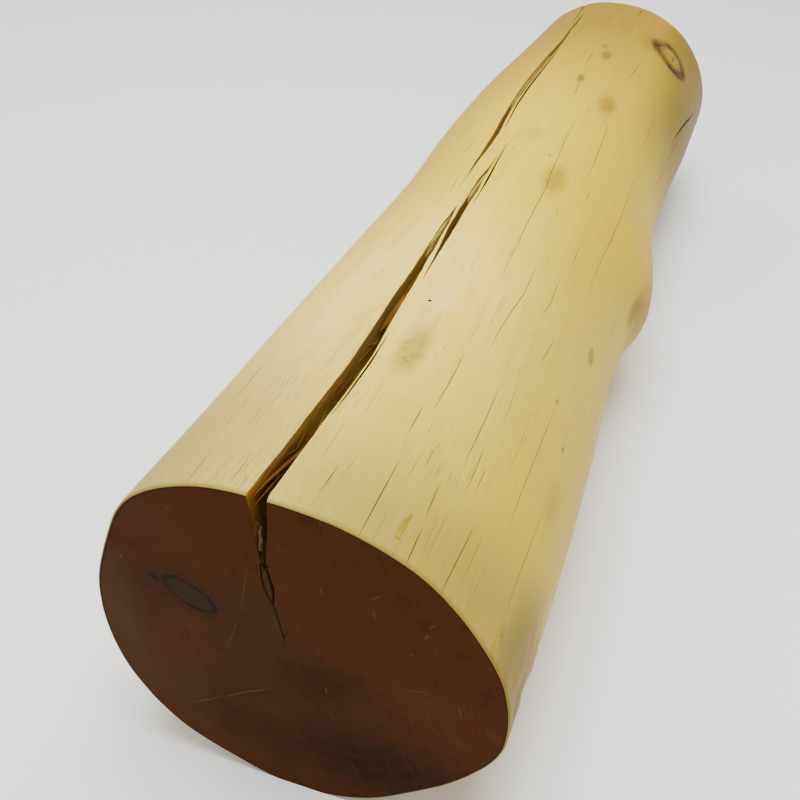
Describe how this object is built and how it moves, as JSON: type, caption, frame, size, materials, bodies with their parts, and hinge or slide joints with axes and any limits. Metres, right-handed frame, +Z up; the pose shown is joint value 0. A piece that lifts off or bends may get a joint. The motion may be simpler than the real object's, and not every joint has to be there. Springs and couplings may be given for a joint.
{
  "type": "eucalyptus post",
  "caption": "Short round post of peeled eucalyptus lying on its side, pale outside, red-brown sawn ends, a long drying crack and a healed branch stump.",
  "frame": {"origin": "middle of the post's own box in plan, at the surface it lies on", "axes": "+Y along the log from the sawn butt to the top end, +Z up, +X to the right when looking at the butt"},
  "size_m": [0.2, 0.72, 0.1987],
  "materials": {
    "wood": "satin, peeled sapwood with red-brown sawn ends"
  },
  "bodies": {
    "root": {"post": "wood"}
  },
  "joints": []
}
